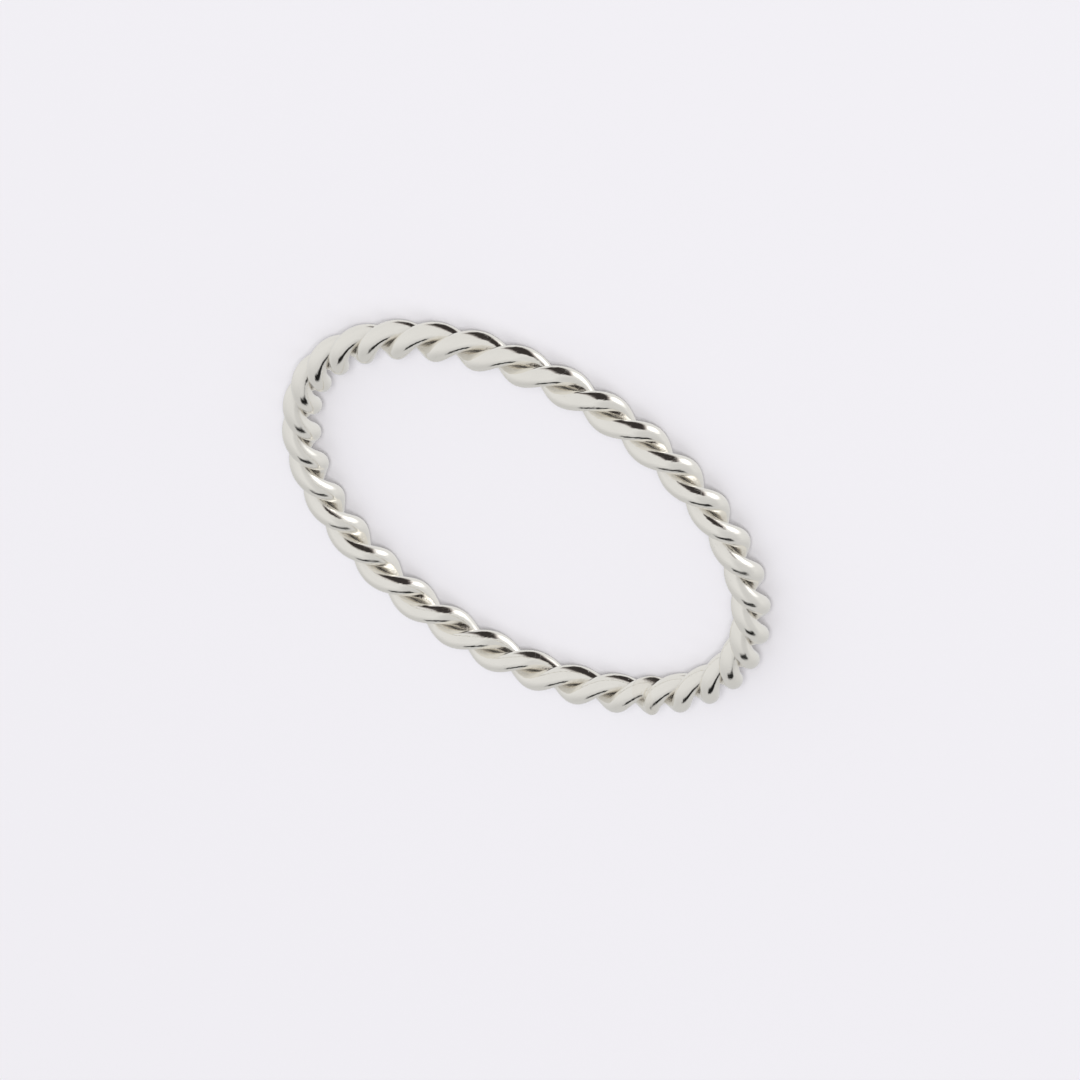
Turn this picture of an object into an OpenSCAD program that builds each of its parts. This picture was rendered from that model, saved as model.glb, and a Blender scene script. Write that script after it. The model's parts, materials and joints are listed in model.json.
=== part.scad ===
// Stacking ring of two round silver wires, twisted round each other like a rope.
// The rope is bent to a circle, and its two sawn ends are soldered together.
// The ring lies flat: Z is the finger's axis, the surface it lies on is z = 0,
// the origin is under the ring's centre, and the seam is at the back, on +Y.

/* [Ring] */
// Inside diameter, across the innermost points of the twist
inner_d = 17.3; // [14:0.1:23]
// Width of the solder line between the rope's two ends
seam_gap = 0.02; // [0.02:0.01:0.1]

/* [Wires] */
// Diameter of each wire
wire_d = 0.72; // [0.5:0.01:0.8]
// Gap between the two wires
wire_gap = 0.02; // [0.02:0.01:0.06]

/* [Twist] */
// Half turns of the twist that the rope would need to meet itself
half_turns = 33; // [25:1:37]
// Degrees of twist by which the rope's two ends miss each other
seam_miss = 36; // [0:18:54]

/* [Mesh] */
// Sides of a wire
wire_sides = 12; // [10:1:12]
// Cross-sections of a wire in one turn of the twist
turn_steps = 20; // [12:4:20]

/* [Hidden] */

wire_r = wire_d / 2;
// Distance of each wire's centre from the rope's centre
lay_r = wire_r + wire_gap / 2;
// Radius round which the rope turns as a whole, and its height above z = 0
rope_r = lay_r + wire_r;
// Radius of the circle that the rope's centre follows
ring_r = inner_d / 2 + rope_r;

turns = half_turns / 2 - seam_miss / 360;
steps = round(turns * turn_steps);
// Degrees round the ring, from +X towards +Y, at which each strand starts, and how far it goes
seam_at = 90;
half_gap = asin(seam_gap / 2 / ring_r);
start_at = seam_at + half_gap;
round_deg = 360 - 2 * half_gap;
// Degrees of twist in each degree round the ring
twist = turns * 360 / round_deg;
// Place of strand_a across the rope at the start: its top, with strand_b under it
start_phase = 90;
// Passes that find where each square-cut section leaves the wire's own round one
CUT_PASSES = 3;

function unit(v) = v / norm(v);
function outward(at) = [cos(at), sin(at), 0];
function onward(at) = [-sin(at), cos(at), 0];

// Direction from the rope's centre to a wire's, where p is the wire's place across the rope
function lean(at, p) = cos(p) * outward(at) + [0, 0, sin(p)];

// A wire's centre, and the direction in which it runs
function centre(at, p) = ring_r * outward(at) + lay_r * lean(at, p) + [0, 0, rope_r];
function run(at, p) = unit(
    (ring_r + lay_r * cos(p)) * onward(at)
    + lay_r * twist * (cos(p) * [0, 0, 1] - sin(p) * outward(at)));

// The wire's surface, q degrees round from its outermost line
function skin(at, p, q) =
    centre(at, p) + wire_r * (cos(q) * lean(at, p) + sin(q) * cross(run(at, p), lean(at, p)));

// The same surface where a square cut across the rope at "at" meets it, so that the
// sections are parallel to the sawn ends: the wire is followed back by the angle
// that its slanting section reaches ahead
function ahead(at, p, q) =
    let (s = skin(at, p, q)) atan2(s * onward(at), s * outward(at));
function cut(at, p, q, back = 0, pass = 0) =
    pass == CUT_PASSES
        ? skin(at - back, p - twist * back, q)
        : cut(at, p, q, ahead(at - back, p - twist * back, q), pass + 1);

// A four-sided patch of the wall, as two triangles that share its shorter diagonal
function patch(points, a, b, c, d) =
    norm(points[a] - points[c]) < norm(points[b] - points[d])
        ? [[a, b, c], [a, c, d]]
        : [[a, b, d], [b, c, d]];

// One wire, once round the ring from the seam back to it
module strand(phase) {
    points = [
        for (i = [0:steps], k = [0:wire_sides - 1])
            let (turned = round_deg * i / steps)
            cut(start_at + turned, phase + twist * turned, 360 * k / wire_sides)
    ];
    walls = [
        for (i = [0:steps - 1], k = [0:wire_sides - 1])
            let (
                here = i * wire_sides,
                next = here + wire_sides,
                k2 = (k + 1) % wire_sides
            )
            each patch(points, here + k, next + k, next + k2, here + k2)
    ];
    first_end = [for (k = [0:wire_sides - 1]) k];
    last_end = [for (k = [wire_sides - 1:-1:0]) steps * wire_sides + k];
    polyhedron(points, concat(walls, [first_end, last_end]), convexity = 10);
}

module strand_a() {
    color("silver") strand(start_phase);
}

module strand_b() {
    color("gainsboro") strand(start_phase + 180);
}

strand_a();
strand_b();
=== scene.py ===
import json
import math

import bpy
from mathutils import Euler, Matrix, Vector


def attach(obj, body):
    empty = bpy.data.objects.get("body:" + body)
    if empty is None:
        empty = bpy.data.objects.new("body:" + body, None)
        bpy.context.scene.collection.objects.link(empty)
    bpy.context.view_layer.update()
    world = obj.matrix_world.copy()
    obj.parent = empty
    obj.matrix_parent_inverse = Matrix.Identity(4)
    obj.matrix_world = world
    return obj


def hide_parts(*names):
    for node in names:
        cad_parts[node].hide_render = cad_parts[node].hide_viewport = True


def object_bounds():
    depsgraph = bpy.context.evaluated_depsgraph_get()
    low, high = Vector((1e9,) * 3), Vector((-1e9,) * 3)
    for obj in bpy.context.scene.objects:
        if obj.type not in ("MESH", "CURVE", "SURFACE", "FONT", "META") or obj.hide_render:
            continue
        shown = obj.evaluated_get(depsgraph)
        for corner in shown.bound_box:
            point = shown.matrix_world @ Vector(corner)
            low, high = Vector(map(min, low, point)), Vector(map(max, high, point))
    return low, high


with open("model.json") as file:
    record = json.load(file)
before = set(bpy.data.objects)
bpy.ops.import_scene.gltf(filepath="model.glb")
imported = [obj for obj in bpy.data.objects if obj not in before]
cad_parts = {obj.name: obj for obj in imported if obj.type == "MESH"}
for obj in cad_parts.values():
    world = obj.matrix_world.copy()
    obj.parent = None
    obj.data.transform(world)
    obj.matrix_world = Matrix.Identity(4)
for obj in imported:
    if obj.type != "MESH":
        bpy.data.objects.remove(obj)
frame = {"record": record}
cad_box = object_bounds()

# The two wires
# Each is one length of round sterling silver wire. The pair is twisted left-handed like a rope, sawn to
# length and bent round until the sawn ends nearly meet at the back, then polished all over.

# The shapes are made with one unit to the millimetre, and TO_METRES brings each to its real size
TO_METRES = 0.001
rope_r = (cad_box[1].z - cad_box[0].z) / 2 / TO_METRES
finger_hole = next(m for m in frame["record"]["mounts"] if m["name"] == "finger_hole")
ring_r = finger_hole["dims"]["r_mm"] + rope_r
# The wires touch along the middle of the rope, so each is half as thick as the rope
wire_r = rope_r / 2
lay_r = rope_r / 2

rope_length = math.tau * ring_r
HALF_TURNS = 33
# Angle of twist by which the rope's two ends miss each other at the seam
SEAM_MISS = math.radians(36)
turns = HALF_TURNS / 2 - SEAM_MISS / math.tau
pitch = rope_length / turns
lay_angle = math.atan(math.tau * lay_r / pitch)
WIRE_SIDES = 36
STEPS_A_TURN = 56
SMOOTH_BELOW = math.radians(40)
# Length that melts away into the solder at each end of the rope
MELTED_END = 0.56


def edit_all(shape):
    """Leaves only this object selected, in edit mode, with all of its mesh selected."""
    if bpy.context.mode != "OBJECT":
        bpy.ops.object.mode_set(mode="OBJECT")
    bpy.ops.object.select_all(action="DESELECT")
    shape.select_set(True)
    bpy.context.view_layer.objects.active = shape
    bpy.ops.object.mode_set(mode="EDIT")
    bpy.ops.mesh.select_mode(type="VERT")
    bpy.ops.mesh.select_all(action="SELECT")


def leave_edit():
    bpy.ops.object.mode_set(mode="OBJECT")


def turn(angle, axis):
    """Turns the selected mesh anticlockwise, as seen from the far end of this axis."""
    # With no window the operator turns the other way
    bpy.ops.transform.rotate(value=-angle, orient_axis=axis, center_override=(0, 0, 0))


def saw_square(at, keep_after):
    """Cuts the wire square across the rope and closes the cut."""
    bpy.ops.mesh.select_all(action="SELECT")
    bpy.ops.mesh.bisect(
        plane_co=(at, 0, 0), plane_no=(1, 0, 0), threshold=0.00001,
        use_fill=True, clear_inner=keep_after, clear_outer=not keep_after)
    bpy.ops.mesh.select_all(action="SELECT")


def apply(shape, kind, **settings):
    """Adds a modifier to the active object and applies it."""
    modifier = shape.modifiers.new(kind.title(), kind)
    for name, value in settings.items():
        setattr(modifier, name, value)
    bpy.ops.object.modifier_apply(modifier=modifier.name)


def straight_wire(name, turned, turns_before, turns_after):
    """A wire laid round the X axis, which lies at this angle from the top of the rope at x = 0."""
    bpy.ops.object.select_all(action="DESELECT")
    bpy.ops.mesh.primitive_circle_add(vertices=WIRE_SIDES, radius=wire_r, location=(0, 0, 0))
    wire = bpy.context.object
    wire.name = name
    edit_all(wire)
    turn(math.pi / 2, "Y")
    turn(lay_angle, "Z")
    bpy.ops.transform.translate(value=(-pitch * turns_before, 0, lay_r))
    turn(turned + math.tau * turns_before, "X")
    leave_edit()
    all_turns = turns_before + turns_after
    steps = round(STEPS_A_TURN * all_turns)
    apply(wire, "SCREW", axis="X", angle=-math.tau * all_turns, screw_offset=pitch * all_turns,
          steps=steps, render_steps=steps, use_merge_vertices=False)
    return wire


def bend_round(shape, length):
    """Bends a length of rope to the ring's curve, in front of the ring's centre, lying on z = 0."""
    apply(shape, "SIMPLE_DEFORM", deform_method="BEND", deform_axis="Z", angle=length / ring_r)
    edit_all(shape)
    bpy.ops.transform.translate(value=(0, -ring_r, rope_r))
    leave_edit()


def finish_shape(shape):
    """Brings a shape to its real size, with its normals outward and its surface smooth."""
    edit_all(shape)
    bpy.ops.transform.resize(value=(TO_METRES,) * 3, center_override=(0, 0, 0))
    bpy.ops.mesh.normals_make_consistent(inside=False)
    leave_edit()
    bpy.ops.object.shade_smooth_by_angle(angle=SMOOTH_BELOW)


def ring_wire(name, turned):
    """One whole wire of the ring, which starts at the seam at this angle from the top of the rope."""
    wire = straight_wire(name, turned, turns_before=1, turns_after=turns + 1)
    edit_all(wire)
    saw_square(MELTED_END, keep_after=True)
    saw_square(rope_length - MELTED_END, keep_after=False)
    bpy.ops.transform.translate(value=(-rope_length / 2, 0, 0))
    leave_edit()
    bend_round(wire, rope_length - 2 * MELTED_END)
    finish_shape(wire)
    return wire


wire_a = ring_wire("wire_a", turned=0)
wire_b = ring_wire("wire_b", turned=math.pi)


class Signal:
    """An output in a node tree, which can be written in a formula as a number is."""

    def __init__(self, tree, socket=None):
        self.tree = tree
        self.socket = socket

    def node(self, kind, settings=None, inputs=None, output=0):
        """Adds a node with these settings and these values or links, and gives its output."""
        made = self.tree.nodes.new("ShaderNode" + kind)
        for name, value in (settings or {}).items():
            setattr(made, name, value)
        for name, value in (inputs or {}).items():
            if isinstance(value, Signal):
                self.tree.links.new(value.socket, made.inputs[name])
            else:
                made.inputs[name].default_value = value
        return Signal(self.tree, made.outputs[output])

    def feed(self, shader, name):
        """Links this signal to the shader's socket of this name."""
        self.tree.links.new(self.socket, shader.inputs[name])

    def math(self, operation, *others):
        return self.node("Math", {"operation": operation}, dict(enumerate((self, *others))))

    def fade(self, zero_at, one_at):
        """Goes smoothly from 0 to 1 as this signal goes from one value to the other."""
        rising = zero_at < one_at
        return self.node(
            "MapRange", {"interpolation_type": "SMOOTHSTEP"},
            {"Value": self, "From Min": min(zero_at, one_at), "From Max": max(zero_at, one_at),
             "To Min": 0.0 if rising else 1.0, "To Max": 1.0 if rising else 0.0})

    def __add__(self, other):
        return self.math("ADD", other)

    __radd__ = __add__

    def __sub__(self, other):
        return self.math("SUBTRACT", other)

    def __rsub__(self, other):
        return self * -1 + other

    def __mul__(self, other):
        return self.math("MULTIPLY", other)

    __rmul__ = __mul__

    def __truediv__(self, other):
        return self.math("DIVIDE", other)

    def __pow__(self, other):
        return self.math("POWER", other)

    def __neg__(self):
        return self * -1

    def __abs__(self):
        return self.math("ABSOLUTE")


def joined(x, y, z):
    """The vector of these three signals."""
    return x.node("CombineXYZ", {}, {"X": x, "Y": y, "Z": z})


def cloud(place, blotches, detail=1.0):
    """Soft noise between 0 and 1, with this many blotches to the unit."""
    return place.node("TexNoise", {}, {"Vector": place, "Scale": blotches, "Detail": detail})


def hairlines(along, across, layer, slant):
    """1 on fine scratches that cross the wire at this slant in degrees, in scattered patches."""
    lean = math.radians(slant)
    lengthways = along * math.cos(lean) + across * math.sin(lean)
    sideways = across * math.cos(lean) - along * math.sin(lean)
    line = abs(cloud(joined(lengthways * 0.05, sideways, layer), blotches=7, detail=0) - 0.5)
    patch = cloud(joined(along, across, layer + slant), blotches=1.2).fade(zero_at=0.5, one_at=0.62)
    return line.fade(zero_at=0.01, one_at=0) * patch


def specks(place):
    """1 in small round pits, which stand in scattered patches."""
    cells = place.node("TexVoronoi", {}, {"Vector": place, "Scale": 6.0}, "Distance")
    patch = cloud(place, blotches=2.5).fade(zero_at=0.56, one_at=0.64)
    return cells.fade(zero_at=0.16, one_at=0.05) * patch


# Distance from the other wire's surface at the groove's mouth, at its bed, and at the edge of the
# painted shade on tarnished metal that is darkest in its corner, where the wires meet
GROOVE_MOUTH = 0.42
GROOVE_BED = 0.05
CORNER_EDGE = 0.12
# The crest is what stands further than this from the middle of the rope
CREST_FROM = 0.8 * rope_r
# Heights and depths of the marks in the metal
SWELL_HEIGHT = 0.010
DIE_LINE_HEIGHT = 0.0052
SCRATCH_DEPTH = 0.0006
PIT_DEPTH = 0.005
GROOVE_GRAIN = 0.009
POLISHED_GRAIN = 0.0010
# Colour of the grooves' tarnished metal and painted shade
TARNISH_AND_SHADE_COLOUR = (0.5, 0.465, 0.425, 1)
# Places of the colour sockets on a Mix node, whose other sockets have the same names
MIX_FROM, MIX_TO, MIX_RESULT = 6, 7, 2


def silver(name, polished, roughness, grain):
    """Silver polished where the wheel reached; grainy, tarnished and given painted shade in the grooves."""
    material = bpy.data.materials.new(name)
    material.use_nodes = True
    tree = material.node_tree
    shader = tree.nodes["Principled BSDF"]
    metres = Signal(tree).node("TexCoord", output="Object")
    place = metres.node("VectorMath", {"operation": "SCALE"}, {0: metres, "Scale": 1 / TO_METRES})
    x, y, z = (place.node("SeparateXYZ", {}, {0: place}, axis) for axis in "XYZ")

    # Which wire a point is on, how far along and round it, and how near the other wire is
    travelled = (-x).math("ARCTAN2", y).math("WRAP", math.tau, 0.0)
    phase = travelled * turns + math.pi / 2
    out = (x * x + y * y) ** 0.5 - ring_r
    up = z - rope_r
    toward_wire = out * phase.math("COSINE") + up * phase.math("SINE")
    beside = up * phase.math("COSINE") - out * phase.math("SINE")
    beyond = abs(toward_wire)
    around = beside.math("ARCTAN2", beyond - lay_r)
    gap = ((beyond + lay_r) ** 2 + beside * beside) ** 0.5 - wire_r
    groove = gap.fade(GROOVE_MOUTH, GROOVE_BED)
    corner = gap.fade(CORNER_EDGE, 0.0)
    crest = ((out * out + up * up) ** 0.5).fade(CREST_FROM, rope_r)

    # The die leaves faint lines along the wire; the wheel leaves soft swells, and wear leaves hairlines
    along, across = travelled * ring_r, around * wire_r
    # Each wire has its own lines, because its layer of the noise is its own
    layer = toward_wire.math("SIGN") * 5
    die_lines = cloud(joined(along * 0.08, across, layer), blotches=11, detail=3)
    swells = cloud(place, blotches=0.9)
    mottle = cloud(place, blotches=5, detail=3)
    scratches = hairlines(along, across, layer, slant=12) + hairlines(along, across, layer, slant=-38)
    scratches = scratches + hairlines(along, across, layer, slant=71)
    pits = specks(place)
    height = swells * SWELL_HEIGHT + die_lines * DIE_LINE_HEIGHT
    height = height - scratches * SCRATCH_DEPTH - pits * PIT_DEPTH
    height = height + cloud(place, blotches=12, detail=3) * (groove * GROOVE_GRAIN * grain + POLISHED_GRAIN)
    height.node("Bump", {}, {"Height": height, "Distance": TO_METRES}).feed(shader, "Normal")

    # The grooves are tarnished and get painted shade, most where the wires meet; pits are darker
    tarnish_and_shade = groove * (0.05 + 0.2 * mottle.fade(0.3, 0.7)) + 0.2 * pits + 0.45 * corner
    tarnish_and_shade.node(
        "Mix", {"data_type": "RGBA"},
        {"Factor": tarnish_and_shade, MIX_FROM: (*polished, 1), MIX_TO: TARNISH_AND_SHADE_COLOUR}, MIX_RESULT,
    ).feed(shader, "Base Color")
    dull = roughness + 0.04 * swells + 0.16 * groove * mottle + 0.05 * scratches + 0.03 * crest
    dull.feed(shader, "Roughness")
    # Where the wires meet the painted shade is partly unmetallic, a dull dark film lit by the tent
    bare_metal = 1 - 0.3 * corner
    bare_metal.feed(shader, "Metallic")
    return material


def dress(shape, material, *nodes):
    """Gives a finished piece its material, and its place in the model."""
    shape.data.materials.clear()
    shape.data.materials.append(material)
    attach(shape, "root")
    if nodes:
        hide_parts(*nodes)


wire_silver = silver("polished_silver", polished=(0.94, 0.917, 0.862), roughness=0.045, grain=1.0)
dress(wire_a, wire_silver, "strand_a")
dress(wire_b, wire_silver, "strand_b")

# The solder seam
# The rope's two ends are wrung towards each other until the wires meet, butted together and flooded with
# hard silver solder, which fills the grooves there and is then filed and polished with the rest.

# Length of rope that the solder covers on each side of the seam, and that is wrung there
SOLDER_REACH = 0.6
WRUNG_REACH = 0.3
# Half the length and half the thickness of the solder that fills the grooves
FILL_REACH = 0.4
FILL_RADIUS = 0.46
MELT_GRAIN = 0.015
MELT_PASSES = 60
# What the melting passes take off the wires, which is put back
MELT_LOSS = 0.004

stubs = []
for half_turn in (0, math.pi):
    stub = straight_wire("stub", half_turn + SEAM_MISS / 2, turns_before=1, turns_after=1)
    edit_all(stub)
    saw_square(-SOLDER_REACH, keep_after=True)
    saw_square(SOLDER_REACH, keep_after=False)
    leave_edit()
    stubs.append(stub)
bpy.ops.object.select_all(action="DESELECT")
bpy.ops.mesh.primitive_uv_sphere_add(
    segments=48, ring_count=24, radius=1, location=(0, 0, 0),
    scale=(FILL_REACH, FILL_RADIUS, FILL_RADIUS))
solder = bpy.context.object
solder.name = "solder_seam"
bpy.ops.object.transform_apply(location=True, rotation=True, scale=True)
for stub in stubs:
    stub.select_set(True)
bpy.ops.object.join()
wrung_part = WRUNG_REACH / SOLDER_REACH / 2
apply(solder, "SIMPLE_DEFORM", deform_method="TWIST", deform_axis="X", angle=-SEAM_MISS,
      limits=(0.5 - wrung_part, 0.5 + wrung_part))
bend_round(solder, 2 * SOLDER_REACH)
edit_all(solder)
turn(math.pi, "Z")
leave_edit()
apply(solder, "REMESH", mode="VOXEL", voxel_size=MELT_GRAIN)
apply(solder, "SMOOTH", factor=0.5, iterations=MELT_PASSES)
apply(solder, "DISPLACE", strength=MELT_LOSS, mid_level=0)
finish_shape(solder)
solder_silver = silver("solder", polished=(0.93, 0.90, 0.835), roughness=0.15, grain=0.6)
dress(solder, solder_silver)

# The studio
# A plain pale paper floor in a pale tent, under one large soft lamp. The tent is greyer behind the ring and
# on its left, and has a long dark opening low in front, a small one high behind, and a bright panel low on
# the left.

PAPER_SIZE = 4
PAPER_COLOUR = (0.8, 0.786, 0.823, 1)


def toward(azimuth, elevation):
    """The direction at this angle in degrees from -Y towards +X, and above the floor."""
    turned, raised = math.radians(azimuth), math.radians(elevation)
    return Vector((
        math.sin(turned) * math.cos(raised),
        -math.cos(turned) * math.cos(raised),
        math.sin(raised)))


bpy.ops.object.select_all(action="DESELECT")
bpy.ops.mesh.primitive_plane_add(size=PAPER_SIZE, location=(0, 0, 0))
floor = bpy.context.object
floor.name = "floor"
# The metal mirrors the tent alone, below the paper too
floor.visible_glossy = False
paper = bpy.data.materials.new("paper")
paper.use_nodes = True
paper_shader = paper.node_tree.nodes["Principled BSDF"]
paper_shader.inputs["Base Color"].default_value = PAPER_COLOUR
paper_shader.inputs["Roughness"].default_value = 1
paper_shader.inputs["Specular IOR Level"].default_value = 0
floor.data.materials.append(paper)

scene = bpy.context.scene
scene.view_settings.view_transform = "Standard"
world = bpy.data.worlds.new("tent")
scene.world = world
world.use_nodes = True
tent = world.node_tree
tent_light = tent.nodes["Background"]
direction = Signal(tent).node("TexCoord", output="Generated")


def reach(vector):
    """How far the direction goes along this vector."""
    return direction.node(
        "VectorMath", {"operation": "DOT_PRODUCT"}, {0: direction, 1: tuple(vector)}, "Value")


def panel(azimuth, elevation, tilt, width, height, softness):
    """1 inside a flat panel that faces the ring, centred at this angle and at a distance of 1."""
    middle = toward(azimuth, elevation)
    right = middle.cross(Vector((0, 0, 1))).normalized()
    up = right.cross(middle)
    lean = math.radians(tilt)
    across = right * math.cos(lean) + up * math.sin(lean)
    along = up * math.cos(lean) - right * math.sin(lean)
    depth = reach(middle)
    inside = depth.fade(zero_at=0.1, one_at=0.11)
    for edge, half in ((across, width / 2), (along, height / 2)):
        inside = inside * abs(reach(edge) / depth).fade(half + softness, half - softness)
    return inside


def shade(azimuth, elevation, inner, outer):
    """1 within the inner angle of this direction, falling to 0 at the outer angle."""
    return reach(toward(azimuth, elevation)).fade(
        math.cos(math.radians(outer)), math.cos(math.radians(inner)))


TENT_TONE = 0.74
FOLD_TONE = 0.06
BACK_SHADE = 0.17
SIDE_SHADE = 0.13
PANEL_TONE = 1.6
# Share of the tent's light that is missing in each opening
FRONT_DARKNESS = 0.95
BACK_DARKNESS = 0.98
# The room that shows through the front opening is warmer than the tent
TENT_COLOUR = (1, 1, 1, 1)
ROOM_COLOUR = (1, 0.88, 0.84, 1)

front_opening = panel(azimuth=-41, elevation=-39, tilt=45, width=2.0, height=0.84, softness=0.15)
back_opening = panel(azimuth=-172, elevation=39, tilt=42, width=0.92, height=0.36, softness=0.08)
bright_panel = panel(azimuth=-99, elevation=-50, tilt=0, width=0.36, height=0.56, softness=0.3)
tone = TENT_TONE + FOLD_TONE * cloud(direction, blotches=1.6, detail=2)
tone = tone - BACK_SHADE * shade(azimuth=150, elevation=20, inner=20, outer=85)
tone = tone - SIDE_SHADE * shade(azimuth=-118, elevation=12, inner=12, outer=45)
tone = tone * (1 - FRONT_DARKNESS * front_opening) * (1 - BACK_DARKNESS * back_opening)
tone = tone + PANEL_TONE * bright_panel
tone.feed(tent_light, "Strength")
front_opening.node(
    "Mix", {"data_type": "RGBA"},
    {"Factor": front_opening, MIX_FROM: TENT_COLOUR, MIX_TO: ROOM_COLOUR}, MIX_RESULT,
).feed(tent_light, "Color")

LAMP_DISTANCE = 4
LAMP_SIZE = 1.2
LAMP_WATTS = 117
lamp_place = toward(azimuth=-54, elevation=37) * LAMP_DISTANCE
bpy.ops.object.light_add(type="AREA", location=lamp_place)
lamp = bpy.context.object
lamp.name = "soft_lamp"
lamp.data.size = LAMP_SIZE
lamp.data.energy = LAMP_WATTS
lamp.rotation_euler = lamp_place.to_track_quat("Z", "Y").to_euler()
lamp.visible_glossy = False

# The camera
# It looks at the ring at the photograph's angle, through a long lens, and is rolled as far round as the
# photograph's camera is, which puts the near side of the ring at the upper right of the picture.

CAMERA_AZIMUTH = -54.27
CAMERA_ELEVATION = 31.06
CAMERA_ROLL = -146.81
CAMERA_DISTANCE = 0.4421
CAMERA_AIM = Vector((0, 0.00108, 0.00073))
bpy.ops.object.camera_add()
camera = bpy.context.object
camera.name = "camera"
camera.data.lens = 400
camera.data.sensor_width = 36
camera.data.clip_start = 0.01
looking = Euler((math.radians(90 - CAMERA_ELEVATION), 0, math.radians(CAMERA_AZIMUTH))).to_matrix()
looking = looking @ Matrix.Rotation(math.radians(CAMERA_ROLL), 3, "Z")
camera.location = CAMERA_AIM + toward(CAMERA_AZIMUTH, CAMERA_ELEVATION) * CAMERA_DISTANCE
camera.rotation_euler = looking.to_euler()
scene.camera = camera
